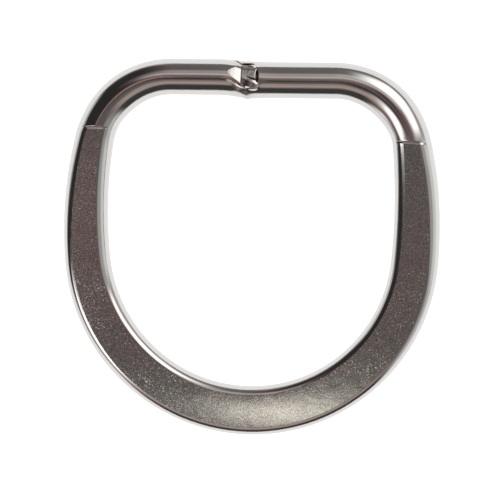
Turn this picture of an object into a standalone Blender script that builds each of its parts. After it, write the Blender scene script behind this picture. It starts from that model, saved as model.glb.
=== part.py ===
"""A steel D ring for 40 mm webbing, in metres, with +Z up.

One length of round wire is bent to a D. Its two legs and its half-round bow are pressed flat
between two dies, whose straight edge leaves a small ledge on each leg. Its ends are welded
together in the middle of the straight bar.

The ring lies on z = 0 as it would by itself: on the round wire just above the two ledges, and on
the outer edge of the bow's foot. The bar is towards +Y, and the origin is the middle of the
ring's foot print.
"""

import math
from collections import namedtuple

import bmesh
import bpy
import numpy as np

# Driving sizes, in metres.
WIRE = 0.0050                  # thickness of the round wire
OPENING_WIDTH = 0.0398         # between the two legs, where they are furthest apart
OPENING_LENGTH = 0.0397        # from the bar to the foot of the bow
CORNER_RADIUS_RIGHT = 0.0108   # middle line of the bend on the +X side
CORNER_RADIUS_LEFT = 0.0111    # middle line of the bend on the -X side
CORNER_WIDTH = 0.0053          # the wire spreads a little where it is bent
LEG_RADIUS_RIGHT = 0.0700      # the legs are long arcs
LEG_RADIUS_LEFT = 0.0585
BOW_START = math.radians(95)   # heading at which a leg becomes the bow, 90 being straight down
BAR_STEP = 0.00036             # how much further out the left half of the bar lies
BAR_BEND = 0.0022              # over which length that half comes down to the weld
WELD_PLACE = -0.0003           # the weld's place along the bar, from the ring's middle

FOOT_WIDTH = 0.0068            # pressed wire in the middle of the bow
FOOT_THICKNESS = 0.0032
FOOT_FLAT = 0.0050             # flat part of its face
EDGE_ROUND = 0.0004            # rounding between a flat and the bulged side of the wire

LEDGE_WIDTH = 0.0053           # pressed wire just below the ledge
LEDGE_THICKNESS = 0.00443
LEDGE_PLACE = 0.0382           # the die's edge, from the middle line of the bow's foot
LEDGE_RUN = 0.00012            # length of the step itself
LEDGE_SWELL = 0.0025           # over which length the wire above swells towards the ledge
DIE_TURN = math.radians(2.0)   # the die's edge falls by this much towards +X
SKEW_REACH = 0.0040            # how far from the ledge the sections still turn with its line

RAMP_RIGHT = 0.0095            # over which length the pressing deepens on the right leg
RAMP_LEFT = 0.0150             # and on the left leg
FLAT_LAG = 1.35                # the flat widens this many times more slowly than the wire thins

# How the surface is divided.
FLAT_COLUMNS = 3               # on half of a flat
EDGE_COLUMNS = 1               # on the rounding beside it
SIDE_COLUMNS = 5               # from there to the widest point
WELD_SPACING = 0.00030
BAR_SPACING = 0.0040
CORNER_SPACING = 0.0014
LEDGE_SPACING = 0.0008
LEG_SPACING = 0.0020
WELD_REACH = 0.0036            # how far the weld's marks reach along the bar
LEDGE_REACH = 0.0024           # how far the close sections reach on both sides of a ledge
LEDGE_SAMPLES = 4000           # points at which the middle line is tried against the die's edge
REST_TRIES = 8                 # corrections of the turn that lays the ring down

# Marks that the weld leaves on the wire. along (towards +X) and round (towards the outer side of
# the bar) place a mark's middle, length and breadth are its half sizes, and height is how far it
# stands proud, all as shares of the wire's thickness. turn is in degrees. ramp deepens a mark
# towards its +X end, and edge is how steeply it ends: 2 is soft, 6 is steep.
Mark = namedtuple("Mark", "along round length breadth height turn ramp edge")
WELD_MARKS = {
    "upset": Mark(-0.05, 0.0, 0.42, 9.0, 0.020, 0, 0.0, 2),
    "dent": Mark(-0.43, 0.12, 0.27, 0.30, -0.085, -20, 1.0, 6),
    "groove": Mark(0.25, 0.16, 0.05, 0.30, -0.050, 8, 0.0, 2),
    "pocket": Mark(-0.02, 0.52, 0.26, 0.07, -0.045, -6, 0.0, 4),
    "burr": Mark(-0.26, 0.56, 0.25, 0.05, 0.036, -30, 0.0, 2),
    "lobe": Mark(0.06, -0.14, 0.22, 0.13, 0.040, -14, 0.0, 4),
    "inner lump": Mark(-0.08, -0.55, 0.16, 0.13, 0.030, 0, 0.0, 2),
}

STEEL_COLOUR = (0.60, 0.58, 0.56, 1.0)
STEEL_ROUGHNESS = 0.12
SHARP_ANGLE = math.radians(40)

# Sizes that follow from those above.
WIRE_RADIUS = WIRE / 2
HALF_SPAN = (OPENING_WIDTH + (FOOT_WIDTH + LEDGE_WIDTH) / 2) / 2
BAR_PLACE = FOOT_WIDTH / 2 + OPENING_LENGTH + WIRE_RADIUS
QUARTER = FLAT_COLUMNS + EDGE_COLUMNS + SIDE_COLUMNS

Run = namedtuple("Run", "length radius")
Side = namedtuple("Side", "sign corner leg step ramp")
Station = namedtuple("Station", "distance pressed")
RIGHT = Side(1, CORNER_RADIUS_RIGHT, LEG_RADIUS_RIGHT, 0.0, RAMP_RIGHT)
LEFT = Side(-1, CORNER_RADIUS_LEFT, LEG_RADIUS_LEFT, BAR_STEP, RAMP_LEFT)


def clear_scene():
    """Remove whatever the scene holds."""
    for item in list(bpy.data.objects):
        bpy.data.objects.remove(item, do_unlink=True)


def middle_line(side):
    """The runs of one half, from the weld outwards along the bar and down to the bow's foot.

    A run is a straight line where its radius is None, and otherwise an arc that bends inwards.
    The bow's radius follows from the span, and the corner ends at the heading that makes the
    corner, the leg and the bow together as long as the ring.
    """
    corner, leg = side.corner, side.leg
    bow = (HALF_SPAN - leg * (1 - math.sin(BOW_START))) / math.sin(BOW_START)
    fall = BAR_PLACE + side.step - corner + leg * math.cos(BOW_START) - bow * (1 + math.cos(BOW_START))
    leg_start = math.acos(fall / (leg - corner))
    bar_end = HALF_SPAN - leg + (leg - corner) * math.sin(leg_start)
    return [
        Run(bar_end - side.sign * WELD_PLACE, None),
        Run(corner * leg_start, corner),
        Run(leg * (BOW_START - leg_start), leg),
        Run(bow * (math.pi - BOW_START), bow),
    ]


def follow(side, runs, distance):
    """Point and heading on the middle line, with the leg's side as +X.

    A heading of 0 points outwards along the bar and 90 degrees down along the leg.
    """
    x, y, heading = side.sign * WELD_PLACE, BAR_PLACE + side.step, 0.0
    left = distance
    for run in runs:
        step = min(left, run.length)
        if run.radius is None:
            x += step * math.cos(heading)
            y -= step * math.sin(heading)
        else:
            turned = heading + step / run.radius
            x += run.radius * (math.sin(turned) - math.sin(heading))
            y += run.radius * (math.cos(turned) - math.cos(heading))
            heading = turned
        left -= step
    y -= side.step * math.exp(-((distance / BAR_BEND) ** 2))
    return x, y, heading


def ledge_distance(side, runs):
    """Distance along the middle line at which it crosses the die's straight edge."""
    total = sum(run.length for run in runs)
    distances = np.linspace(runs[0].length, total, LEDGE_SAMPLES)
    slope = math.tan(DIE_TURN) * side.sign
    places = [follow(side, runs, distance) for distance in distances]
    above = [y + slope * x - LEDGE_PLACE for x, y, _ in places]
    return float(np.interp(0.0, above[::-1], distances[::-1]))


def half_stations(side, runs, ledge):
    """Distances of the sections of one half, close together at the weld and at the ledge."""
    total = sum(run.length for run in runs)
    bar_end = runs[0].length
    spans = [
        (0.0, WELD_REACH, WELD_SPACING, False),
        (WELD_REACH, bar_end, BAR_SPACING, False),
        (bar_end, ledge - LEDGE_REACH, CORNER_SPACING, False),
        (ledge - LEDGE_REACH, ledge - LEDGE_RUN, LEDGE_SPACING, False),
        (ledge, ledge + LEDGE_REACH, LEDGE_SPACING, True),
        (ledge + LEDGE_REACH, total, LEG_SPACING, True),
    ]
    stations = []
    for start, end, spacing, pressed in spans:
        count = max(1, round((end - start) / spacing))
        for distance in np.linspace(start, end, count + 1):
            if not stations or distance > stations[-1].distance + LEDGE_RUN / 2:
                stations.append(Station(float(distance), pressed))
    return stations


def quarter_round(angles, half_width, half_height):
    """A quarter of the round section, from its top to its widest point."""
    return half_width * np.sin(angles), half_height * np.cos(angles)


def quarter_pressed(half_width, half_height, half_flat):
    """A quarter of the pressed section: a flat, a small rounding and a bulged side.

    The bulge is an arc about a point of the middle plane. It passes through the flat's edge and
    through the widest point. The rounding touches the flat and the bulge.
    """
    bulge = half_width - half_flat
    radius = (bulge ** 2 + half_height ** 2) / (2 * bulge)
    centre = half_width - radius
    edge = min(EDGE_ROUND, half_height / 2)
    edge_centre = centre + math.sqrt((radius - edge) ** 2 - (half_height - edge) ** 2)
    meet = math.atan2(half_height - edge, edge_centre - centre)

    flat = np.linspace(0.0, edge_centre, FLAT_COLUMNS + 1)
    edge_angles = np.linspace(math.pi / 2, meet, EDGE_COLUMNS + 1)[1:]
    side_angles = np.linspace(meet, 0.0, SIDE_COLUMNS + 1)[1:]
    across = np.concatenate([
        flat,
        edge_centre + edge * np.cos(edge_angles),
        centre + radius * np.cos(side_angles),
    ])
    height = np.concatenate([
        np.full(FLAT_COLUMNS + 1, half_height),
        half_height - edge + edge * np.sin(edge_angles),
        radius * np.sin(side_angles),
    ])
    return across, height


def whole_section(across, height):
    """Mirror a quarter into the closed section: top, outer side, underside, inner side."""
    across = np.concatenate([across, across[-2::-1], -across[1:], -across[-2:0:-1]])
    height = np.concatenate([height, -height[-2::-1], -height[1:], height[-2:0:-1]])
    return across, height


def pressed_sizes(side, past, length):
    """Half width, half thickness and half flat of the wire at a distance past the ledge.

    Each runs from its size at the ledge to its size at the foot as a fading exponential, with
    length being the way from the ledge to the foot.
    """
    fade = fading(past, side.ramp, length)
    flat_fade = fading(past, side.ramp * FLAT_LAG, length)
    ledge_flat = LEDGE_WIDTH * math.sqrt(1 - (LEDGE_THICKNESS / WIRE) ** 2)
    half_width = (FOOT_WIDTH + (LEDGE_WIDTH - FOOT_WIDTH) * fade) / 2
    half_height = (FOOT_THICKNESS + (LEDGE_THICKNESS - FOOT_THICKNESS) * fade) / 2
    half_flat = (FOOT_FLAT + (ledge_flat - FOOT_FLAT) * flat_fade) / 2
    return half_width, half_height, half_flat


def fading(past, ramp, length):
    """A share that fades from 1 to 0 over a length, most of it within its ramp."""
    end = math.exp(-length / ramp)
    return (math.exp(-past / ramp) - end) / (1 - end)


def ledge_angles(side, length):
    """Angles round the wire at which its columns meet those of the pressed section."""
    across, height = quarter_pressed(*pressed_sizes(side, 0.0, length))
    flat = np.arcsin(across / (LEDGE_WIDTH / 2))
    bulged = np.arctan2(across / (LEDGE_WIDTH / 2), height / WIRE_RADIUS)
    return np.where(np.arange(QUARTER + 1) <= FLAT_COLUMNS, flat, bulged)


def section(side, station, heading, ledge, total):
    """The closed section at one station, as places across the wire and above its middle."""
    past = station.distance - ledge
    if station.pressed:
        return whole_section(*quarter_pressed(*pressed_sizes(side, past, total - ledge)))
    near = math.exp(past / LEDGE_SWELL)
    bend = (CORNER_WIDTH - WIRE) / 2 * math.sin(2 * heading) ** 2
    half_width = WIRE_RADIUS + bend * (1 - near) + (LEDGE_WIDTH - WIRE) / 2 * near
    even = np.linspace(0.0, math.pi / 2, QUARTER + 1)
    share = station.distance / ledge
    angles = (1 - share) * even + share * ledge_angles(side, total - ledge)
    return whole_section(*quarter_round(angles, half_width, WIRE_RADIUS))


def weld_relief(along, angles):
    """How far the weld's marks raise the wire's surface, at angles round it from its top.

    They fade out towards the underside, where the wire is plain.
    """
    relief = np.zeros_like(angles)
    for mark in WELD_MARKS.values():
        x = along - mark.along * WIRE
        y = WIRE_RADIUS * angles - mark.round * WIRE
        turn = math.radians(mark.turn)
        length = (x * math.cos(turn) + y * math.sin(turn)) / (mark.length * WIRE)
        breadth = (y * math.cos(turn) - x * math.sin(turn)) / (mark.breadth * WIRE)
        inside = np.exp(-(length ** 2 + breadth ** 2) ** (mark.edge / 2))
        slope = 1 + mark.ramp * np.clip(length, -1, 1)
        relief += mark.height * WIRE * slope * inside
    return relief * np.clip(1 + 2 * np.cos(angles), 0, 1)


def station_points(side, runs, ledge, station):
    """The section at one station, placed in the ring's own plane."""
    total = sum(run.length for run in runs)
    x, y, heading = follow(side, runs, station.distance)
    across, height = section(side, station, heading, ledge, total)

    if station.distance <= WELD_REACH:
        relief = weld_relief(side.sign * station.distance, np.arctan2(across, height))
        across, height = (part * (1 + relief / WIRE_RADIUS) for part in (across, height))

    outwards = np.array([math.sin(heading), math.cos(heading)])
    forwards = np.array([math.cos(heading), -math.sin(heading)])
    from_ledge = (station.distance - ledge) / SKEW_REACH
    skew = ledge_skew(side, runs, ledge) * math.exp(-(from_ledge ** 2))
    place = np.array([x, y]) + across[:, None] * (outwards + skew * forwards)
    return np.column_stack([side.sign * place[:, 0], place[:, 1], height])


def ledge_skew(side, runs, ledge):
    """How far the die's edge runs forwards for each length that it runs outwards."""
    _, _, heading = follow(side, runs, ledge)
    fall = math.tan(DIE_TURN) * side.sign
    forwards = math.cos(heading) + fall * math.sin(heading)
    outwards = math.sin(heading) - fall * math.cos(heading)
    return forwards / outwards


def ring_points():
    """All sections in order round the ring, from the weld by the right leg and back."""
    loops = []
    for side in (RIGHT, LEFT):
        runs = middle_line(side)
        ledge = ledge_distance(side, runs)
        half = [station_points(side, runs, ledge, station)
                for station in half_stations(side, runs, ledge)]
        if side is LEFT:
            half = half[-2:0:-1]
        loops += half
    return loops


def rest_turn(points):
    """The turn about X that lays the ring on its bar and on the foot of its bow."""
    turn = 0.0
    for _ in range(REST_TRIES):
        y = points[:, 1] * math.cos(turn) - points[:, 2] * math.sin(turn)
        z = points[:, 1] * math.sin(turn) + points[:, 2] * math.cos(turn)
        near_bar = points[:, 1] > BAR_PLACE / 2
        bar = np.argmin(np.where(near_bar, z, np.inf))
        foot = np.argmin(np.where(near_bar, np.inf, z))
        turn += math.atan2(z[foot] - z[bar], y[bar] - y[foot])
    return turn


def loft(name, loops):
    """One closed mesh with a face between each two neighbouring sections."""
    shape = bmesh.new()
    rings = []
    for points in loops:
        verts = [shape.verts.new(point) for point in points]
        count = len(verts)
        rings.append([shape.edges.new((verts[i], verts[(i + 1) % count])) for i in range(count)])
    for i, ring in enumerate(rings):
        bmesh.ops.bridge_loops(shape, edges=ring + rings[(i + 1) % len(rings)])
    bmesh.ops.recalc_face_normals(shape, faces=shape.faces)
    mesh = bpy.data.meshes.new(name)
    shape.to_mesh(mesh)
    shape.free()
    return mesh


def steel():
    """Tumbled and polished stainless steel."""
    material = bpy.data.materials.new("polished_steel")
    material.use_nodes = True
    shader = material.node_tree.nodes["Principled BSDF"]
    shader.inputs["Base Color"].default_value = STEEL_COLOUR
    shader.inputs["Metallic"].default_value = 1.0
    shader.inputs["Roughness"].default_value = STEEL_ROUGHNESS
    return material


def d_ring():
    """The whole ring, laid on z = 0 with its foot print centred on the origin."""
    loops = ring_points()
    mesh = loft("d_ring", loops)
    mesh.shade_smooth()
    mesh.set_sharp_from_angle(angle=SHARP_ANGLE)
    mesh.materials.append(steel())
    ring = bpy.data.objects.new("d_ring", mesh)
    bpy.context.collection.objects.link(ring)

    points = np.concatenate(loops)
    turn = rest_turn(points)
    y = points[:, 1] * math.cos(turn) - points[:, 2] * math.sin(turn)
    z = points[:, 1] * math.sin(turn) + points[:, 2] * math.cos(turn)
    ring.rotation_euler.x = turn
    ring.location = (
        -(points[:, 0].min() + points[:, 0].max()) / 2,
        -(y.min() + y.max()) / 2,
        -z.min(),
    )
    return ring


def main():
    """Build the ring in an empty scene."""
    clear_scene()
    d_ring()


main()
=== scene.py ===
"""Looks of a steel D ring for 40 mm webbing: its fine surface, its finish and a pale studio.

The ring is one length of round wire, bent to a D, pressed flat along its legs and its bow, and
welded in the middle of its straight bar. All sizes are metres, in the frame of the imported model.
"""

import logging
import math
from collections.abc import Sequence
from dataclasses import dataclass, field
from enum import Enum

import bpy
import numpy as np
from mathutils import Matrix, Vector


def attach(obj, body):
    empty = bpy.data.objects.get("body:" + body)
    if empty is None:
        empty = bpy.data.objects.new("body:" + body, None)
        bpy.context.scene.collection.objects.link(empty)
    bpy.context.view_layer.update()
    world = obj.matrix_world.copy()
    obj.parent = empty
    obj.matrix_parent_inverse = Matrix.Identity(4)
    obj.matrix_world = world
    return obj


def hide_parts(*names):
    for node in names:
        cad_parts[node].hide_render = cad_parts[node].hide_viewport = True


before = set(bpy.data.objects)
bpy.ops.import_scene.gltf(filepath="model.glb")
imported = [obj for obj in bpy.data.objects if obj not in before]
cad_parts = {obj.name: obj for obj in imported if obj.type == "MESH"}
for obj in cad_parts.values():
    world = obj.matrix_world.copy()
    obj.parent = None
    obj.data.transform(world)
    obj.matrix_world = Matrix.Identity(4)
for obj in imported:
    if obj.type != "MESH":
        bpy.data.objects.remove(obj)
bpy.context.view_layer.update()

Array = np.ndarray
Colour = tuple[float, float, float]
Point = tuple[float, float, float]
log = logging.getLogger("d_ring")

NODE = "d_ring"


# Shader maths.


class Term:
    """A shader socket in an expression: every operator adds a Math node."""

    def __init__(self, nodes: "Nodes", socket: bpy.types.NodeSocket | None) -> None:
        """Wrap a socket of the tree that nodes adds to, or none for a node without outputs."""
        self.nodes = nodes
        self.socket = socket

    def __add__(self, other: "Term | float") -> "Term":
        """Sum."""
        return self.nodes.math("ADD", self, other)

    def __radd__(self, other: float) -> "Term":
        """Sum, the number first."""
        return self.nodes.math("ADD", other, self)

    def __sub__(self, other: "Term | float") -> "Term":
        """Difference."""
        return self.nodes.math("SUBTRACT", self, other)

    def __rsub__(self, other: float) -> "Term":
        """Difference, the number first."""
        return self.nodes.math("SUBTRACT", other, self)

    def __mul__(self, other: "Term | float") -> "Term":
        """Product."""
        return self.nodes.math("MULTIPLY", self, other)

    def __rmul__(self, other: float) -> "Term":
        """Product, the number first."""
        return self.nodes.math("MULTIPLY", other, self)

    def __truediv__(self, other: "Term | float") -> "Term":
        """Quotient."""
        return self.nodes.math("DIVIDE", self, other)

    def __rtruediv__(self, other: float) -> "Term":
        """Quotient, the number first."""
        return self.nodes.math("DIVIDE", other, self)

    def __abs__(self) -> "Term":
        """Size without its sign."""
        return self.nodes.math("ABSOLUTE", self)


Input = Term | float | Sequence[float]


class Nodes:
    """Adds nodes to one shader tree and links them.

    A Mix node's colour sockets share their names with its other ones, so they go by number.
    """

    FIRST_COLOUR = 6
    SECOND_COLOUR = 7
    MIXED_COLOUR = 2

    def __init__(self, tree: bpy.types.NodeTree) -> None:
        """Start with the tree emptied."""
        self.tree = tree
        tree.nodes.clear()

    def add(self, kind: str, settings: dict[str, object] | None = None,
            values: dict[str | int, Input] | None = None, output: str | int = 0) -> Term:
        """Add one node.

        Args:
            kind: The node's type.
            settings: Its properties, set before its sockets are.
            values: A value or a term for each socket, by name or number.
            output: The output socket that is wanted.

        Returns:
            That output as a term.
        """
        node = self.tree.nodes.new(kind)
        for name, value in (settings or {}).items():
            setattr(node, name, value)
        for name, value in (values or {}).items():
            if isinstance(value, Term):
                self.tree.links.new(value.socket, node.inputs[name])
            else:
                node.inputs[name].default_value = value
        return Term(self, node.outputs[output] if len(node.outputs) else None)

    def math(self, operation: str, *terms: Term | float) -> Term:
        """A Math node of that operation on one to three terms."""
        return self.add("ShaderNodeMath", {"operation": operation}, dict(enumerate(terms)))

    def smooth(self, value: Term, start: float, end: float) -> Term:
        """0 before start, 1 after end and an S curve between them."""
        values = {"Value": value, "From Min": start, "From Max": end}
        return self.add("ShaderNodeMapRange", {"interpolation_type": "SMOOTHSTEP"}, values)

    def blend(self, share: Term | float, first: Input, second: Input) -> Term:
        """A colour between two, the second where share is 1."""
        values = {"Factor": share, self.FIRST_COLOUR: first, self.SECOND_COLOUR: second}
        return self.add("ShaderNodeMix", {"data_type": "RGBA"}, values, self.MIXED_COLOUR)

    def parts(self, vector: Term) -> tuple[Term, Term, Term]:
        """The three numbers of a vector."""
        node = self.add("ShaderNodeSeparateXYZ", None, {0: vector}).socket.node
        return tuple(Term(self, socket) for socket in node.outputs)

    def noise(self, place: Term, size: float, detail: float = 2.0, roughness: float = 0.5) -> Term:
        """Noise round 0.5 whose lumps are about that size, in the units of place."""
        values = {"Vector": place, "Scale": 1 / size, "Detail": detail, "Roughness": roughness}
        return self.add("ShaderNodeTexNoise", None, values)


def opaque(colour: Sequence[float]) -> tuple[float, ...]:
    """The colour with a full alpha."""
    return (*colour, 1.0)


# The wire's middle line.


@dataclass(frozen=True)
class Half:
    """What differs between the two halves of the ring.

    sign is the half's side along X, and corner and leg are radii of its middle line. step is how
    much further out its part of the bar lies, and ramp is the way over which the pressing deepens.
    """

    sign: int
    corner: float
    leg: float
    step: float
    ramp: float


@dataclass(frozen=True)
class Sizes:
    """The ring's sizes.

    The outline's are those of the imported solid. The edges of the flats and the steps at the
    ledges are rounder here, and crown and dip are here alone.

    corner_width and ledge_width are the wire's widths in a bend and at a ledge, and bow_start is
    the heading at which the bow begins. Along the wire, bar_bend is the reach of the step between
    the bar's halves, ledge_swell that of the widening above a ledge, and skew_reach that of
    die_turn, the slant of the die's edge. ledge_run is the length of the step down to the flat,
    and dip_run that of the die's bite. flat_lag is how many times as long the flat takes to widen
    as the wire does. crown is how far the bow's upper face falls to its outer edge, and
    crown_start the share of the face that doesn't.
    """

    wire: float = 0.0050
    opening_width: float = 0.0398
    opening_length: float = 0.0397
    corner_width: float = 0.0053
    bow_start: float = math.radians(95)
    bar_bend: float = 0.0022
    weld_place: float = -0.0003
    foot_width: float = 0.0068
    foot_thickness: float = 0.0032
    foot_flat: float = 0.0050
    edge_round: float = 0.0010
    ledge_width: float = 0.0053
    ledge_thickness: float = 0.00443
    ledge_place: float = 0.0382
    ledge_run: float = 0.00018
    dip: float = 0.000045
    dip_run: float = 0.00026
    ledge_swell: float = 0.0025
    die_turn: float = math.radians(2.0)
    skew_reach: float = 0.0040
    flat_lag: float = 1.6
    crown: float = 0.00022
    crown_reach: float = 0.0130
    crown_start: float = 0.1
    right: Half = Half(sign=1, corner=0.0108, leg=0.0700, step=0.0, ramp=0.0095)
    left: Half = Half(sign=-1, corner=0.0111, leg=0.0585, step=0.00036, ramp=0.0150)

    @property
    def radius(self) -> float:
        """Half the wire's thickness."""
        return self.wire / 2

    @property
    def half_span(self) -> float:
        """From the ring's middle to a leg's middle line, where the legs are furthest apart."""
        return (self.opening_width + (self.foot_width + self.ledge_width) / 2) / 2

    @property
    def bar_place(self) -> float:
        """From the middle line of the bow's foot to that of the bar."""
        return self.foot_width / 2 + self.opening_length + self.radius


class MiddleLine:
    """The wire's middle line on one half: bar, corner, leg and bow, each tangent to the next.

    The bar is straight and the others are arcs. The bow's radius follows from the span, and the
    corner ends at the heading that makes the corner, the leg and the bow as long as the ring. A
    heading of 0 points outwards along the bar and 90 degrees down along the leg.
    """

    SAMPLES = 4000

    def __init__(self, sizes: Sizes, half: Half) -> None:
        """Work out the runs, the whole length and the distance of the ledge.

        Args:
            sizes: The ring's sizes.
            half: The half that the line runs along.
        """
        self.sizes = sizes
        self.half = half
        corner, leg, start = half.corner, half.leg, sizes.bow_start
        bow = (sizes.half_span - leg * (1 - math.sin(start))) / math.sin(start)
        fall = sizes.bar_place + half.step - corner
        fall += leg * math.cos(start) - bow * (1 + math.cos(start))
        leg_start = math.acos(fall / (leg - corner))
        bar_end = sizes.half_span - leg + (leg - corner) * math.sin(leg_start)
        self.bar = bar_end - half.sign * sizes.weld_place
        self.arcs = [
            (corner * leg_start, corner),
            (leg * (start - leg_start), leg),
            (bow * (math.pi - start), bow),
        ]
        self.length = self.bar + sum(length for length, _ in self.arcs)
        self.ledge = self.find_ledge()

    def follow(self, distance: Array) -> tuple[Array, Array, Array]:
        """Points and headings, with the leg's side as +X.

        A straight run adds its length times the heading's cosine and sine. An arc of radius R
        that turns from a to b adds R (sin b - sin a) and R (cos b - cos a). The half that lies
        further out comes in to the weld as a bell curve of the distance.

        Args:
            distance: Distances from the weld.

        Returns:
            The places along X and Y and the headings.
        """
        x = self.half.sign * self.sizes.weld_place + np.clip(distance, 0, self.bar)
        bend = np.exp(-((distance / self.sizes.bar_bend) ** 2))
        y = self.sizes.bar_place + self.half.step * (1 - bend)
        heading = np.zeros_like(distance)
        ahead = distance - self.bar
        for length, radius in self.arcs:
            turned = heading + np.clip(ahead, 0, length) / radius
            x = x + radius * (np.sin(turned) - np.sin(heading))
            y = y + radius * (np.cos(turned) - np.cos(heading))
            heading = turned
            ahead = ahead - length
        return x, y, heading

    def find_ledge(self) -> float:
        """Find where the line crosses the die's straight edge.

        Returns:
            The distance from the weld.
        """
        distance = np.linspace(self.bar, self.length, self.SAMPLES)
        x, y, _ = self.follow(distance)
        slope = math.tan(self.sizes.die_turn) * self.half.sign
        above = y + slope * x - self.sizes.ledge_place
        return float(np.interp(0.0, above[::-1], distance[::-1]))

    def ledge_skew(self) -> float:
        """Work out how the die's edge lies across the line.

        Returns:
            How far the edge runs forwards for each length that it runs outwards.
        """
        heading = float(self.follow(np.array([self.ledge]))[2][0])
        fall = math.tan(self.sizes.die_turn) * self.half.sign
        forwards = math.cos(heading) + fall * math.sin(heading)
        outwards = math.sin(heading) - fall * math.cos(heading)
        return forwards / outwards


# Marks on the surface.


@dataclass(frozen=True)
class Mark:
    """A raised or sunk mark, with its sizes as shares of the wire's thickness.

    along and round place its middle, length and breadth are half sizes, height is how far it
    stands proud, turn is in degrees, ramp deepens it towards its far end, and edge is how steeply
    it ends: 2 is soft and 6 is steep.
    """

    along: float
    round: float
    length: float
    breadth: float
    height: float
    turn: float = 0.0
    ramp: float = 0.0
    edge: float = 2.0

    def relief(self, along: Array, around: Array) -> Array:
        """How far the mark raises each point.

        In the mark's own turned axes, each divided by its half size, the height falls with the
        distance r from its middle as exp(-r ** edge), times a slope along its length.

        Args:
            along: Distances along the wire, as shares of its thickness.
            around: Distances round the wire, as shares of its thickness.

        Returns:
            The relief, as a share of the wire's thickness.
        """
        x, y = along - self.along, around - self.round
        turn = math.radians(self.turn)
        length = (x * math.cos(turn) + y * math.sin(turn)) / self.length
        breadth = (y * math.cos(turn) - x * math.sin(turn)) / self.breadth
        inside = np.exp(-((length ** 2 + breadth ** 2) ** (self.edge / 2)))
        return self.height * (1 + self.ramp * np.clip(length, -1, 1)) * inside


@dataclass(frozen=True)
class Cut:
    """A flat cut into the round wire, with its sizes as shares of the wire's thickness.

    The cut starts at start, depth below the wire's surface, and falls along the wire with slope,
    and more steeply further on by curve. It faces the angle facing, in degrees from the top
    towards the outside. From stop on it rises again with the slope wall.
    """

    start: float
    stop: float
    facing: float
    depth: float
    slope: float = 0.0
    curve: float = 0.0
    wall: float = 5.0

    def level(self, along: Array, around: Array) -> Array:
        """The highest that the cut lets each point stand above the round wire.

        The cut is a plane at the wire's radius less the depth there. Along a ray at angle a from
        the way that it faces, the plane lies at that distance divided by the cosine of a.

        Args:
            along: Distances along the wire, as shares of its thickness.
            around: Distances round the wire, as shares of its thickness.

        Returns:
            The level, as a share of the wire's thickness, without a limit before the cut's start.
        """
        way = np.clip(along - self.start, 0, self.stop - self.start)
        depth = self.depth + self.slope * way + self.curve * way ** 2
        ray = np.clip(2 * around - math.radians(self.facing), -math.pi / 3, math.pi / 3)
        level = (0.5 - depth) / np.cos(ray) - 0.5 + self.wall * np.maximum(along - self.stop, 0)
        return np.where(along >= self.start, level, np.inf)


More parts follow.
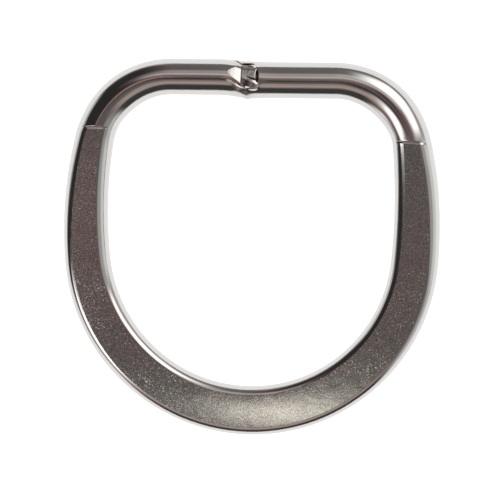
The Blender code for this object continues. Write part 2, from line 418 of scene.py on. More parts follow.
@dataclass(frozen=True)
class Weld:
    """The butt weld in the middle of the bar: a swelling, cuts into it, then beads and grooves.

    The swelling goes all round, with a lump towards the opening. The cuts are the dent and the
    level patch past it. The beads are the lobe on that patch and the burrs round it. The grooves
    are the one across the bar, the pit on its outer side and the crack beside the lobe.

    The marks and the cuts are shares of the wire's thickness, as is the depth that sets the painted
    shade
    in the grooves: a groove is painted grey from half that depth and black from one and a half, as
    shade. fade is the share of the reach over which
    the marks run out. round_over is how steeply they do below the wire's sides: with 2 they end
    a third of a turn from the top. The melted skin is full within melted of skin_middle and ends
    skin_fade further on.
    """

    reach: float = 0.0042
    fade: float = 1 / 6
    round_over: float = 2.0
    groove_shade_depth: float = 0.005
    skin_middle: float = -0.0006
    melted: float = 0.00084
    skin_fade: float = 0.0014
    swelling: tuple[Mark, ...] = (
        Mark(0.02, 0.0, 0.36, 9.0, 0.016),
        Mark(-0.06, -0.34, 0.26, 0.20, 0.040, 0, 0.0, 3),
        Mark(-0.04, -0.58, 0.14, 0.11, 0.045, 0, 0.0, 2),
    )
    cuts: tuple[Cut, ...] = (
        Cut(-0.54, -0.175, 20, 0.0, 0.10, 0.15),
        Cut(-0.175, 0.27, 21, -0.0065),
    )
    beads: tuple[Mark, ...] = (
        Mark(0.11, -0.110, 0.19, 0.12, 0.038, -22, 0.6, 4),
        Mark(0.12, -0.19, 0.13, 0.06, 0.014, -15, 0.3, 3),
        Mark(-0.10, -0.20, 0.20, 0.08, 0.020, -8, 0.0, 2.5),
        Mark(-0.37, -0.10, 0.18, 0.06, 0.008, -26, 0.0, 2),
        Mark(-0.08, 0.385, 0.28, 0.03, 0.030, 0, 0.0, 3),
        Mark(-0.32, 0.62, 0.13, 0.04, 0.030, -40, 0.0, 3),
        Mark(0.12, 0.41, 0.08, 0.04, 0.040, 10, 0.0, 3),
    )
    grooves: tuple[Mark, ...] = (
        Mark(0.265, 0.12, 0.036, 0.16, -0.060, 3, 0.0, 6),
        Mark(-0.02, 0.49, 0.155, 0.045, -0.075, 0, 0.0, 4),
        Mark(0.14, 0.044, 0.15, 0.018, -0.035, -18, 0.0, 3),
    )

    def relief(self, along: Array, angles: Array, wire: float) -> tuple[Array, Array]:
        """How far the weld raises each point, and how much painted shade its grooves get there.

        The cuts limit the swelling, and the beads and the grooves are laid over both. All of it
        fades out towards the plain underside and at the reach.

        Args:
            along: Distances along the wire.
            angles: Angles round the wire, from its top.
            wire: The wire's thickness.

        Returns:
            The relief, and the painted shade in the grooves from 0 to 1.
        """
        along, around = along / wire, angles / 2
        total = sum(mark.relief(along, around) for mark in self.swelling)
        for cut in self.cuts:
            total = np.minimum(total, cut.level(along, around))
        total = total + sum(mark.relief(along, around) for mark in self.beads)
        hollow = sum(mark.relief(along, around) for mark in self.grooves)
        upper = np.clip(1 + self.round_over * np.cos(angles), 0, 1)
        near = np.clip((1 - np.abs(along) * wire / self.reach) / self.fade, 0, 1)
        # Painted shade: the deeper a groove, the darker it is painted, black where it is deepest.
        groove_shade = np.clip(-hollow / self.groove_shade_depth - 0.5, 0, 1)
        return (total + hollow) * wire * upper * near, groove_shade

    def skin(self, along: Array) -> Array:
        """1 on the melted metal and 0 on the drawn wire."""
        past = np.abs(along - self.skin_middle) - self.melted
        return np.clip(1 - past / self.skin_fade, 0, 1)


# The ring's surface.


@dataclass(frozen=True)
class Columns:
    """How a quarter of the section is divided: half a flat, its rounding and the bulged side.

    fade is how many faces of the rounding the grain of the flat reaches into.
    """

    flat: int = 18
    edge: int = 8
    side: int = 34
    fade: float = 1.5

    @property
    def quarter(self) -> int:
        """Faces in a quarter of the section."""
        return self.flat + self.edge + self.side


@dataclass(frozen=True)
class Spacing:
    """Distances between sections in each stretch of a half.

    before_ledge and after_ledge are how far the near_ledge spacing reaches, and after_dip how
    many times the length of the die's bite the step spacing does.
    """

    weld: float = 0.00006
    bar: float = 0.0005
    corner: float = 0.0004
    near_ledge: float = 0.0001
    step: float = 0.000045
    leg: float = 0.0012
    before_ledge: float = 0.0016
    after_ledge: float = 0.0008
    after_dip: float = 1.2


@dataclass
class DRing:
    """The whole ring: one piece of wire with its weld, its ledges and its pressed flats."""

    sizes: Sizes = field(default_factory=Sizes)
    columns: Columns = field(default_factory=Columns)
    spacing: Spacing = field(default_factory=Spacing)
    weld: Weld = field(default_factory=Weld)
    rest_tries: int = 8

    def distances(self, line: MiddleLine) -> Array:
        """Distances of the sections of one half, from the weld to the bow's foot.

        Each stretch is divided evenly into as many parts as its spacing asks for.

        Args:
            line: The half's middle line.

        Returns:
            The distances, rising.
        """
        space, run = self.spacing, self.sizes.ledge_run
        stops = [
            (0.0, space.weld),
            (self.weld.reach, space.bar),
            (line.bar, space.corner),
            (line.ledge - space.before_ledge, space.near_ledge),
            (line.ledge - run, space.step),
            (line.ledge, space.step),
            (line.ledge + self.sizes.dip_run * space.after_dip, space.near_ledge),
            (line.ledge + space.after_ledge, space.leg),
        ]
        ends = [start for start, _ in stops[1:]] + [line.length]
        parts = [
            np.linspace(start, end, max(1, round((end - start) / spacing)), endpoint=False)
            for (start, spacing), end in zip(stops, ends)
        ]
        return np.append(np.concatenate(parts), line.length)

    def pressed_sizes(self, line: MiddleLine, past: Array) -> tuple[Array, Array, Array]:
        """Half width, half thickness and half flat at distances past the ledge.

        Each runs from its size at the ledge to its size at the foot as an exponential that fades
        from 1 to 0 over the way between them, most of it within the half's ramp.

        Args:
            line: The half's middle line.
            past: Distances past the ledge.

        Returns:
            Half widths, half thicknesses and half flats.
        """
        s = self.sizes

        def fading(ramp: float) -> Array:
            """The share that is left of the size at the ledge."""
            end = math.exp(-(line.length - line.ledge) / ramp)
            return (np.exp(-past / ramp) - end) / (1 - end)

        fade, flat_fade = fading(line.half.ramp), fading(line.half.ramp * s.flat_lag)
        ledge_flat = s.ledge_width * math.sqrt(1 - (s.ledge_thickness / s.wire) ** 2)
        width = s.foot_width + (s.ledge_width - s.foot_width) * fade
        height = s.foot_thickness + (s.ledge_thickness - s.foot_thickness) * fade
        flat = s.foot_flat + (ledge_flat - s.foot_flat) * flat_fade
        return width / 2, height / 2, flat / 2

    def pressed_quarter(self, width: Array, height: Array, flat: Array) -> tuple[Array, Array]:
        """Quarters of pressed sections: a flat, a small rounding and a bulged side.

        The bulge is an arc about a point of the middle plane, through the flat's edge and the
        widest point. The rounding touches the flat and the bulge.

        Args:
            width: Half widths.
            height: Half thicknesses.
            flat: Half flats.

        Returns:
            Places across and heights, a row for each section.
        """
        bulge = width - flat
        radius = (bulge ** 2 + height ** 2) / (2 * bulge)
        centre = width - radius
        edge = np.minimum(self.sizes.edge_round, height / 2)
        edge_centre = centre + np.sqrt((radius - edge) ** 2 - (height - edge) ** 2)
        meet = np.arctan2(height - edge, edge_centre - centre)

        flat_share = np.linspace(0, 1, self.columns.flat + 1)
        edge_share = np.linspace(0, 1, self.columns.edge + 1)[1:]
        side_share = np.linspace(1, 0, self.columns.side + 1)[1:]
        rounding = np.pi / 2 + np.outer(meet - np.pi / 2, edge_share)
        side = np.outer(meet, side_share)
        across = np.hstack([
            np.outer(edge_centre, flat_share),
            edge_centre[:, None] + edge[:, None] * np.cos(rounding),
            centre[:, None] + radius[:, None] * np.cos(side),
        ])
        heights = np.hstack([
            np.outer(height, np.ones_like(flat_share)),
            (height - edge)[:, None] + edge[:, None] * np.sin(rounding),
            radius[:, None] * np.sin(side),
        ])
        return across, heights

    def ledge_angles(self, line: MiddleLine) -> Array:
        """Angles round the wire at which its columns meet those of the pressed section.

        Args:
            line: The half's middle line.

        Returns:
            An angle for each column of a quarter, from the top.
        """
        s = self.sizes
        pressed = self.pressed_quarter(*self.pressed_sizes(line, np.zeros(1)))
        across, height = (part[0] for part in pressed)
        flat = np.arcsin(across / (s.ledge_width / 2))
        bulged = np.arctan2(across / (s.ledge_width / 2), height / s.radius)
        return np.where(np.arange(self.columns.quarter + 1) <= self.columns.flat, flat, bulged)

    def round_quarter(self, line: MiddleLine, distance: Array, heading: Array) -> tuple[Array, Array]:
        """Quarters of the round wire, a little wider in the bends and towards the ledge.

        Each is a quarter ellipse. Its columns pass from even angles at the weld to the angles of
        the pressed section's columns at the ledge.

        Args:
            line: The half's middle line.
            distance: Distances of the sections.
            heading: Headings there.

        Returns:
            Places across and heights, a row for each section.
        """
        s = self.sizes
        past = np.minimum(distance - line.ledge, 0)
        near = np.exp(past / s.ledge_swell)
        bend = (s.corner_width - s.wire) / 2 * np.sin(2 * heading) ** 2
        width = s.radius + bend * (1 - near) + (s.ledge_width - s.wire) / 2 * near
        even = np.linspace(0, np.pi / 2, self.columns.quarter + 1)
        share = np.clip(distance / line.ledge, 0, 1)[:, None]
        angles = (1 - share) * even + share * self.ledge_angles(line)
        return width[:, None] * np.sin(angles), s.radius * np.cos(angles)

    def half_sections(self, line: MiddleLine, distance: Array, heading: Array) -> tuple[Array, Array]:
        """Closed sections of one half, round above the ledge and pressed below it.

        The step between them is a parabola, which leaves the wire's surface smoothly and meets
        the flat at a sharp corner.

        Args:
            line: The half's middle line.
            distance: Distances of the sections.
            heading: Headings there.

        Returns:
            Places across the wire, outwards positive, and above its middle.
        """
        s = self.sizes
        past = np.maximum(distance - line.ledge, 0)
        pressed = self.pressed_quarter(*self.pressed_sizes(line, past))
        plain = self.round_quarter(line, distance, heading)
        down = np.clip((distance - line.ledge + s.ledge_run) / s.ledge_run, 0, 1)[:, None] ** 2
        across, height = (a * (1 - down) + b * down for a, b in zip(plain, pressed))
        across = np.hstack([across, across[:, -2::-1], -across[:, 1:], -across[:, -2:0:-1]])
        height = np.hstack([height, -height[:, -2::-1], -height[:, 1:], height[:, -2:0:-1]])
        return across, height

    def half_surface(self, half: Half) -> dict[str, Array]:
        """All points of one half in the ring's own plane, with what the finish needs to know.

        A point is the middle line's place plus its place across the wire, times the outwards
        direction, which is skewed near the ledge to follow the die's straight edge.

        Args:
            half: The half.

        Returns:
            Grids of points, of flatness, of weld skin and of the grooves' painted shade, and the
            sections' distances.
        """
        s = self.sizes
        line = MiddleLine(s, half)
        distance = self.distances(line)
        x, y, heading = line.follow(distance)
        across, height = self.half_sections(line, distance, heading)

        along = half.sign * distance[:, None]
        relief, groove_shade = self.weld.relief(along, np.arctan2(across, height), s.wire)
        across, height = (part * (1 + relief / s.radius) for part in (across, height))

        height = height - self.crown_drop(line, distance, across, height)
        height = height - self.ledge_dip(line, distance, height)
        skew = line.ledge_skew() * np.exp(-(((distance - line.ledge) / s.skew_reach) ** 2))
        place_x = x[:, None] + across * (np.sin(heading) + skew * np.cos(heading))[:, None]
        place_y = y[:, None] + across * (np.cos(heading) - skew * np.sin(heading))[:, None]
        flat = self.flatness(distance > line.ledge + s.dip_run)
        skin = np.broadcast_to(self.weld.skin(half.sign * distance)[:, None], across.shape)
        return {
            "points": np.dstack([half.sign * place_x, place_y, height]),
            "flat": flat,
            "weld": skin,
            "groove_shade": groove_shade,
            "distance": distance,
        }

    def crown_drop(self, line: MiddleLine, distance: Array, across: Array, height: Array) -> Array:
        """How far the polished upper face of the bow falls towards its outer edge.

        The drop grows with the square of the way across the face, and along the bow it fades as a
        bell curve of the distance from the foot.

        Args:
            line: The half's middle line.
            distance: Distances of the sections.
            across: Places across the wire.
            height: Heights above its middle.

        Returns:
            The drop at each point.
        """
        s = self.sizes
        bell = np.exp(-(((distance - line.length) / s.crown_reach) ** 2))[:, None]
        share = (across / (s.foot_flat / 2) + 1) / 2
        outer = np.clip((share - s.crown_start) / (1 - s.crown_start), 0, 1)
        upper = np.clip(height / (s.foot_thickness / 2), 0, 1)
        return s.crown * bell * upper * outer ** 2

    def ledge_dip(self, line: MiddleLine, distance: Array, height: Array) -> Array:
        """How far the die's edge bit into the upper face: most at the ledge, then evenly less.

        Args:
            line: The half's middle line.
            distance: Distances of the sections.
            height: Heights above the wire's middle.

        Returns:
            The depth of the bite at each point.
        """
        s = self.sizes
        past = (distance - line.ledge) / s.dip_run
        before = np.clip(past * s.dip_run / s.ledge_run + 1, 0, 1) ** 2
        share = np.where(past < 0, before, np.clip(1 - past, 0, 1))[:, None]
        return s.dip * share * np.clip(height / (s.ledge_thickness / 2), 0, 1)

    def flatness(self, pressed: Array) -> Array:
        """Mark the pressed faces, fading at the start of the rounding beside them.

        Args:
            pressed: Whether each section lies past the ledge.

        Returns:
            1 on the pressed faces and 0 elsewhere, a row for each section.
        """
        c = self.columns
        number = np.arange(c.quarter + 1)
        quarter = np.clip(1 - (number - c.flat) / c.fade, 0, 1)
        whole = np.concatenate([quarter, quarter[-2::-1], quarter[1:], quarter[-2:0:-1]])
        return pressed[:, None] * whole

    def surface(self) -> dict[str, Array]:
        """The closed surface, from the weld by the right leg and back by the left one.

        Returns:
            The grids of both halves joined, and the distances from the weld with the length last.
        """
        right = self.half_surface(self.sizes.right)
        left = self.half_surface(self.sizes.left)
        whole = {
            name: np.concatenate([right[name], left[name][-2:0:-1]])
            for name in ("points", "flat", "weld", "groove_shade")
        }
        total = right["distance"][-1] + left["distance"][-1]
        whole["distance"] = np.concatenate([right["distance"], total - left["distance"][-2::-1]])
        whole["points"] = self.laid_down(whole["points"])
        return whole

    def laid_down(self, points: Array) -> Array:
        """Turn the ring about X until its bar and its foot both touch z = 0, and centre it.

        Args:
            points: Points in the ring's own plane.

        Returns:
            The points as the ring lies.
        """
        turn = 0.0
        bar_side = points[..., 1] > self.sizes.bar_place / 2
        for _ in range(self.rest_tries):
            turned = self.turned(points, turn)
            y, z = turned[..., 1], turned[..., 2]
            bar = np.argmin(np.where(bar_side, z, np.inf))
            foot = np.argmin(np.where(bar_side, np.inf, z))
            turn += math.atan2(z.flat[foot] - z.flat[bar], y.flat[bar] - y.flat[foot])
        turned = self.turned(points, turn)
        low, high = turned.min(axis=(0, 1)), turned.max(axis=(0, 1))
        return turned - np.array([(low[0] + high[0]) / 2, (low[1] + high[1]) / 2, low[2]])

    @staticmethod
    def turned(points: Array, turn: float) -> Array:
        """Turn points about the X axis.

        Args:
            points: The points.
            turn: The angle, from +Y towards +Z.

        Returns:
            The turned points.
        """
        y = points[..., 1] * math.cos(turn) - points[..., 2] * math.sin(turn)
        z = points[..., 1] * math.sin(turn) + points[..., 2] * math.cos(turn)
        return np.stack([points[..., 0], y, z], axis=-1)

    def build(self) -> bpy.types.Object:
        """Build the ring as one closed mesh with its finish.

        Returns:
            The ring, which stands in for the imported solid.
        """
        whole = self.surface()
        mesh = wrapped_grid("steel_ring", whole["points"], whole["distance"])
        # The last attribute holds the painted shade in the weld's grooves.
        for name in ("flat", "weld", "groove_shade"):
            attribute = mesh.attributes.new(name, "FLOAT", "POINT")
            attribute.data.foreach_set("value", whole[name].astype(np.float32).ravel())
        ring = bpy.data.objects.new("steel_ring", mesh)
        bpy.context.collection.objects.link(ring)
        mesh.materials.append(SteelFinish().material())
        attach(ring, "root")
        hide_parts(NODE)
        return ring


def wrapped_grid(name: str, points: Array, distance: Array) -> bpy.types.Mesh:
    """A closed mesh over a grid that wraps both ways, with a map along and round the wire.

    Args:
        name: The mesh's name.
        points: A row of points for each section.
        distance: The distance of each section, and last the whole length.

    Returns:
        The mesh. Its map runs along the wire in metres and round it from 0 to 1.
    """
    rows, columns = points.shape[:2]
    first = np.arange(rows * columns).reshape(rows, columns)
    second = np.roll(first, -1, axis=0)
    corners = [first, second, np.roll(second, -1, axis=1), np.roll(first, -1, axis=1)]
    faces = np.stack(corners, axis=-1).reshape(-1, 4)
    mesh = bpy.data.meshes.new(name)
    mesh.from_pydata(points.reshape(-1, 3), [], faces)

    along = np.stack([distance[:-1], distance[1:], distance[1:], distance[:-1]], axis=-1)
    share = np.arange(columns + 1) / columns
    around = np.stack([share[:-1], share[:-1], share[1:], share[1:]], axis=-1)
    grid = np.empty((rows, columns, 4, 2), dtype=np.float32)
    grid[..., 0] = along[:, None, :]
    grid[..., 1] = around[None, :, :]
    mesh.uv_layers.new(name="trace").data.foreach_set("uv", grid.ravel())
    mesh.shade_smooth()
    mesh.update()
    return mesh


# Finishes.


@dataclass(frozen=True)
class SteelFinish:
    """Tumbled and polished stainless steel: drawn wire, pressed flats and a melted weld.

    Each span is where a noise or a place starts to count and where it counts in full. grain,
    patch, cloud, dent and the line sizes are the sizes of the noises, in metres, and the depths
    are those of the bumps. Specks are rough pits that scatter the light. They stand closer in
    patches, and on the bow more than on the legs.
    """

    colour: Colour = (0.595, 0.588, 0.578)
    pit_colour: Colour = (0.38, 0.375, 0.37)
    clear_colour: Colour = (0.74, 0.73, 0.72)
    # The colour of the painted shade in the weld's grooves.
    groove_shade_colour: Colour = (0.05, 0.04, 0.04)
    speck_colour: Colour = (0.95, 0.93, 0.89)
    weld_colour: Colour = (0.58, 0.55, 0.53)
    wire_roughness: float = 0.09
    flat_roughness: float = 0.165
    weld_roughness: float = 0.17
    speck_roughness: float = 0.34
    grain: float = 0.00018
    grain_depth: float = 0.0000060
    mottle_span: tuple[float, float] = (0.36, 0.64)
    slag: float = 0.00036
    slag_depth: float = 0.0000240
    speck: float = 0.000216
    speck_span: tuple[float, float] = (0.63, 0.75)
    patch: float = 0.005
    patch_span: tuple[float, float] = (0.40, 0.65)
    patch_specks: float = 0.06
    leg_span: tuple[float, float] = (-0.008, 0.002)
    leg_specks: float = -0.05
    cloud: float = 0.0012
    cloud_roughness: float = 0.06
    dent: float = 0.0016
    dent_depth: float = 0.000016
    line_pitch: float = 0.010
    line_length: float = 0.004
    line_depth: float = 0.0000030

    def material(self) -> bpy.types.Material:
        """Make the steel, with its grain on the flats and its drawn lines on the wire.

        Returns:
            The material.
        """
        material = bpy.data.materials.new("polished_steel")
        material.use_nodes = True
        nodes = Nodes(material.node_tree)
        flat = self.attribute(nodes, "flat")
        weld = self.attribute(nodes, "weld")
        place = nodes.add("ShaderNodeTexCoord", None, None, "Object")
        trace = nodes.add("ShaderNodeUVMap", {"uv_map": "trace"})
        along, around, _ = nodes.parts(trace)
        stretched = {0: along / self.line_length, 1: around / self.line_pitch}
        lines = nodes.add("ShaderNodeCombineXYZ", None, stretched)

        peel = nodes.noise(place, self.grain, detail=3.0, roughness=0.7)
        drawn = nodes.noise(lines, 1.0, roughness=0.6)
        slag = nodes.noise(place, self.slag)
        dents = nodes.noise(place, self.dent, detail=1.0)
        height = (peel * flat * self.grain_depth
                  + dents * flat * self.dent_depth
                  + drawn * (1 - flat) * (1 - weld) * self.line_depth
                  + slag * weld * self.slag_depth)
        bump = nodes.add("ShaderNodeBump", None, {"Height": height, "Strength": 1.0, "Distance": 1.0})

        clear = nodes.smooth(peel, *self.mottle_span)
        mottle = nodes.blend(clear, opaque(self.pit_colour), opaque(self.clear_colour))
        patches = nodes.smooth(nodes.noise(place, self.patch, detail=1.0), *self.patch_span)
        legs = nodes.smooth(nodes.parts(place)[1], *self.leg_span)
        seeds = (nodes.noise(place, self.speck, detail=1.0)
                 + patches * self.patch_specks + legs * self.leg_specks)
        specks = nodes.smooth(seeds, *self.speck_span)
        clouds = nodes.noise(place, self.cloud, roughness=0.6)
        roughness = (self.wire_roughness + flat * (self.flat_roughness - self.wire_roughness)
                     + flat * specks * (self.speck_roughness - self.flat_roughness)
                     + weld * (self.weld_roughness - self.wire_roughness)
                     + (clouds - 0.5) * self.cloud_roughness)
        mottle = nodes.blend(specks, mottle, opaque(self.speck_colour))
        colour = nodes.blend(weld, opaque(self.colour), opaque(self.weld_colour))
        colour = nodes.blend(flat, colour, mottle)
        # Painted shade: the weld's grooves are darkened towards black by their depth.
        colour = nodes.blend(self.attribute(nodes, "groove_shade"), colour, opaque(self.groove_shade_colour))
        shader = nodes.add("ShaderNodeBsdfPrincipled", None, {
            "Base Color": colour,
            "Metallic": 1.0,
            "Roughness": roughness,
            "Normal": bump,
        })
        nodes.add("ShaderNodeOutputMaterial", None, {"Surface": shader})
        return material

    @staticmethod
    def attribute(nodes: Nodes, name: str) -> Term:
        """A number that the mesh holds at its points."""
        return nodes.add("ShaderNodeAttribute", {"attribute_name": name}, None, "Fac")


@dataclass(frozen=True)
class LightTable:
    """A pale floor that glows evenly near the ring and fades out further off.

    The camera sees seen_glow, and glow and far_glow light the ring. drop is how far the floor
    lies below it.
    """

    size: float = 3.0
    drop: float = 0.00002
    colour: Colour = (0.50, 0.50, 0.50)
    roughness: float = 0.8
    seen_glow: float = 1.05
    glow: float = 0.95
    far_glow: float = 0.60
    even_reach: float = 0.045
    fade_reach: float = 0.300

    def build(self) -> bpy.types.Object:
        """Build the floor as one square.

        Returns:
            The floor.
        """
        corners = np.array([(-1, -1, 0), (1, -1, 0), (1, 1, 0), (-1, 1, 0)]) * self.size / 2
        mesh = bpy.data.meshes.new("floor")
        mesh.from_pydata(corners - (0, 0, self.drop), [], [(0, 1, 2, 3)])
        mesh.materials.append(self.material())
        floor = bpy.data.objects.new("floor", mesh)
        bpy.context.collection.objects.link(floor)
        return floor

    def material(self) -> bpy.types.Material:
        """Make a matt white whose glow depends on how far the ring is.

        Returns:
            The material.
        """
        material = bpy.data.materials.new("light_table")
        material.use_nodes = True
        nodes = Nodes(material.node_tree)
        place = nodes.add("ShaderNodeTexCoord", None, None, "Object")
        reach = nodes.add("ShaderNodeVectorMath", {"operation": "LENGTH"}, {0: place}, "Value")
        far = nodes.smooth(reach, self.even_reach, self.fade_reach)
        glow = nodes.blend(far, opaque((self.glow,) * 3), opaque((self.far_glow,) * 3))
        seen = nodes.add("ShaderNodeLightPath", None, None, "Is Camera Ray")
        glow = nodes.blend(seen, glow, opaque((self.seen_glow,) * 3))
        shader = nodes.add("ShaderNodeBsdfPrincipled", None, {
            "Base Color": opaque(self.colour),
            "Roughness": self.roughness,
            "Specular IOR Level": 0.0,
            "Emission Color": glow,
            "Emission Strength": 1.0,
        })
        nodes.add("ShaderNodeOutputMaterial", None, {"Surface": shader})
        return material


# The studio.


class Chart(Enum):
    """How a panel's place and size are given, in degrees as seen from the ring."""

    ROUND = "azimuth from +X towards +Y, and zenith distance"
    OVERHEAD = "lean towards +X, and lean towards +Y"


class Tint(Enum):
    """Colours of the studio's lamps, cards and walls, for a tone of 1."""

    PLAIN = (1.01, 1.00, 0.98)
    BROWN = (1.30, 0.87, 0.89)
    ROSE = (1.55, 0.87, 0.86)
    CLAY = (1.20, 0.95, 0.86)
    SAND = (1.10, 0.98, 0.92)
    OLIVE = (1.02, 1.03, 0.93)

    def light(self, tone: float) -> Colour:
        """The light that a surface of this colour gives at a tone."""
        return tuple(part * tone for part in self.value)


@dataclass(frozen=True)
class Panel:
    """A soft-edged lamp, card or wall of the studio, as seen from the ring.

    across and up place its middle on its chart, width and height are its size there, soft is the
    breadth of its edge and tone its brightness.
    """

    name: str
    chart: Chart
    across: float
    up: float
    width: float
    height: float
    soft: float
    tone: float
    tint: Tint = Tint.PLAIN


@dataclass(frozen=True)
class NearLamp:
    """A small oval lamp that hangs close over the bow's foot and shines just in front of it."""

    place: Point = (-0.0086, -0.062, 0.150)
    target: Point = (0.0, -0.045, 0.003)
    length: float = 0.035
    breadth: float = 0.024
    spread: float = math.radians(46)
    power: float = 0.000245
    colour: Colour = (1.0, 0.95, 0.83)

    def build(self) -> bpy.types.Object:
        """Build the lamp, turned to its target.

        Returns:
            The lamp.
        """
        data = bpy.data.lights.new("near_lamp", "AREA")
        data.shape = "ELLIPSE"
        data.size = self.length
        data.size_y = self.breadth
        data.spread = self.spread
        data.energy = self.power
        data.color = self.colour
        lamp = bpy.data.objects.new("near_lamp", data)
        lamp.location = self.place
        aim = Vector(self.target) - Vector(self.place)
        lamp.rotation_euler = aim.to_track_quat("-Z", "Y").to_euler()
        lamp.visible_camera = False
        bpy.context.collection.objects.link(lamp)
        return lamp


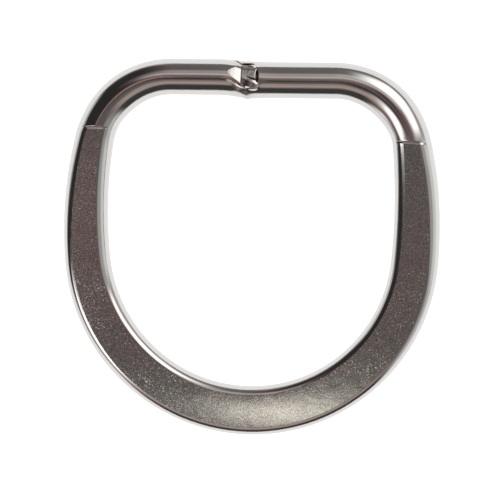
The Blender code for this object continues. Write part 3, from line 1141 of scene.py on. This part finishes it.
@dataclass
class Studio:
    """The floor, the near lamp, the surroundings and the camera.

    ceiling and horizon are tones, and one passes into the other between horizon_start and
    horizon_end, in degrees from the zenith. A panel lies over those before it. The camera's leans
    and its roll are in degrees. view_width is how much of the ring's plane it sees, and aim is how
    far to the right of the ring's middle and above it the picture's middle lies.
    """

    floor: LightTable = field(default_factory=LightTable)
    lamp: NearLamp = field(default_factory=NearLamp)
    backdrop: float = 0.90
    ceiling: float = 0.183
    horizon: float = 0.90
    horizon_start: float = 74.0
    horizon_end: float = 94.0
    panels: tuple[Panel, ...] = (
        Panel("olive card", Chart.OVERHEAD, -1, -14, 60, 15, 2, 0.142, Tint.OLIVE),
        Panel("dark card at the left", Chart.OVERHEAD, -14, -12.5, 11, 13, 1, 0.025, Tint.OLIVE),
        Panel("brown card at the left", Chart.OVERHEAD, -15, 2, 12, 15.5, 1, 0.52, Tint.ROSE),
        Panel("brown card at the right", Chart.OVERHEAD, -2, 0, 12, 14, 3, 0.200, Tint.BROWN),
        Panel("dark middle", Chart.OVERHEAD, 2, 6, 8, 13, 5, 0.065, Tint.BROWN),
        Panel("dark strip at the left", Chart.OVERHEAD, -8.5, -10, 4.5, 6.5, 2, 0.05),
        Panel("dark strip at the right", Chart.OVERHEAD, -6, -5.5, 3.5, 5, 1.5, 0.04),
        Panel("wall behind", Chart.ROUND, 103, 28, 56, 32, 16, 0.52, Tint.SAND),
        Panel("high strip behind", Chart.ROUND, 90, 19.5, 100, 4, 3, 0.82),
        Panel("low strip behind", Chart.ROUND, 90, 35, 70, 4, 3, 0.68),
        Panel("wall behind, low", Chart.ROUND, 82, 69, 37, 45, 9, 0.21),
        Panel("dark corner", Chart.ROUND, 135, 58, 60, 56, 34, 0.037),
        Panel("dark wall at the left", Chart.ROUND, 170, 49, 58, 76, 12, 0.034),
        Panel("large lamp", Chart.ROUND, 45, 49, 62, 38, 27, 2.1),
        Panel("foot of the large lamp", Chart.ROUND, 50, 64, 28, 19, 20, 2.0),
        Panel("dark strip under the lamp", Chart.ROUND, 54, 92, 34, 15, 9, 0.11),
        Panel("small lamp", Chart.ROUND, 217, 37, 20, 23, 24, 3.2),
        Panel("edge of the small lamp", Chart.ROUND, 205, 48, 16, 22, 14, 2.2),
        Panel("wall in front", Chart.ROUND, 264, 43, 78, 27, 22, 0.46, Tint.CLAY),
        Panel("wall ahead at the right", Chart.ROUND, 293, 56, 34, 16, 16, 0.60),
        Panel("dark wall in front", Chart.ROUND, 272, 74, 78, 48, 18, 0.062),
        Panel("wall at the right", Chart.ROUND, 343, 68, 62, 61, 16, 0.38),
        Panel("wall beside the lamp", Chart.ROUND, -3, 54, 32, 66, 12, 0.47),
        Panel("bright wall beside the lamp", Chart.ROUND, -3, 79, 32, 30, 14, 0.88),
        Panel("bright corner", Chart.ROUND, 327, 83, 32, 26, 13, 0.73),
        Panel("wall at the left", Chart.ROUND, 222, 86, 12, 21, 18, 1.3),
        Panel("gap at the left", Chart.ROUND, 163, 87, 30, 20, 15, 0.82),
    )
    lean_right: float = 7.0
    lean_back: float = 3.0
    roll: float = 0.6
    distance: float = 0.40
    view_width: float = 0.0692
    aim: tuple[float, float] = (-0.00033, -0.00042)
    sensor: float = 36.0
    clip_factor: float = 100.0

    def build(self) -> None:
        """Set up everything round the ring."""
        self.floor.build()
        self.lamp.build()
        self.surroundings()
        self.camera()
        bpy.context.scene.view_settings.view_transform = "Standard"

    def camera(self) -> bpy.types.Object:
        """Build a camera that leans from straight above towards +X and +Y.

        Returns:
            The camera.
        """
        leans = (math.tan(math.radians(lean)) for lean in (self.lean_right, self.lean_back))
        back = Vector((*leans, 1.0)).normalized()
        right = Vector((0, 1, 0)).cross(back).normalized()
        up = back.cross(right)
        roll = math.radians(self.roll)
        turned_right = right * math.cos(roll) + up * math.sin(roll)
        turned_up = up * math.cos(roll) - right * math.sin(roll)
        data = bpy.data.cameras.new("camera")
        data.sensor_width = self.sensor
        data.lens = self.sensor * self.distance / self.view_width
        data.clip_start = self.distance / self.clip_factor
        data.clip_end = self.distance * self.clip_factor
        camera = bpy.data.objects.new("camera", data)
        bpy.context.collection.objects.link(camera)
        aim = turned_right * self.aim[0] + turned_up * self.aim[1]
        turn = Matrix((turned_right, turned_up, back)).transposed().to_4x4()
        camera.matrix_world = Matrix.Translation(aim + back * self.distance) @ turn
        bpy.context.scene.camera = camera
        return camera

    def surroundings(self) -> None:
        """Light from all directions: a dim ceiling, a pale horizon, and the panels over them."""
        world = bpy.data.worlds.new("studio")
        bpy.context.scene.world = world
        world.use_nodes = True
        nodes = Nodes(world.node_tree)
        direction = nodes.add("ShaderNodeTexCoord", None, None, "Generated")
        x, y, z = nodes.parts(direction)
        zenith = nodes.math("DEGREES", nodes.math("ARCCOSINE", z))
        low = nodes.smooth(zenith, self.horizon_start, self.horizon_end)
        ceiling, horizon = Tint.BROWN.light(self.ceiling), Tint.PLAIN.light(self.horizon)
        light = nodes.blend(low, opaque(ceiling), opaque(horizon))
        for panel in self.panels:
            if panel.chart is Chart.ROUND:
                turn = math.radians(panel.across)
                ahead = x * math.cos(turn) + y * math.sin(turn)
                aside = y * math.cos(turn) - x * math.sin(turn)
                across = nodes.math("DEGREES", nodes.math("ARCTAN2", aside, ahead))
                up = zenith - panel.up
            else:
                across = nodes.math("DEGREES", nodes.math("ARCTAN2", x, z)) - panel.across
                up = nodes.math("DEGREES", nodes.math("ARCTAN2", y, z)) - panel.up
            inside = (self.window(nodes, across, panel.width, panel.soft)
                      * self.window(nodes, up, panel.height, panel.soft))
            light = nodes.blend(inside, light, opaque(panel.tint.light(panel.tone)))
            light.socket.node.label = panel.name
        seen = nodes.add("ShaderNodeLightPath", None, None, "Is Camera Ray")
        light = nodes.blend(seen, light, opaque((self.backdrop,) * 3))
        shader = nodes.add("ShaderNodeBackground", None, {"Color": light})
        nodes.add("ShaderNodeOutputWorld", None, {"Surface": shader})

    @staticmethod
    def window(nodes: Nodes, offset: Term, size: float, soft: float) -> Term:
        """1 within half the size of the middle and 0 outside it, with a soft edge."""
        return 1 - nodes.smooth(abs(offset), (size - soft) / 2, (size + soft) / 2)


def main() -> None:
    """Build the ring and the studio."""
    logging.basicConfig(level=logging.INFO, format="%(message)s")
    Studio().build()
    ring = DRing().build()
    log.info("%s: %d faces", ring.name, len(ring.data.polygons))


if __name__ == "__main__":
    main()
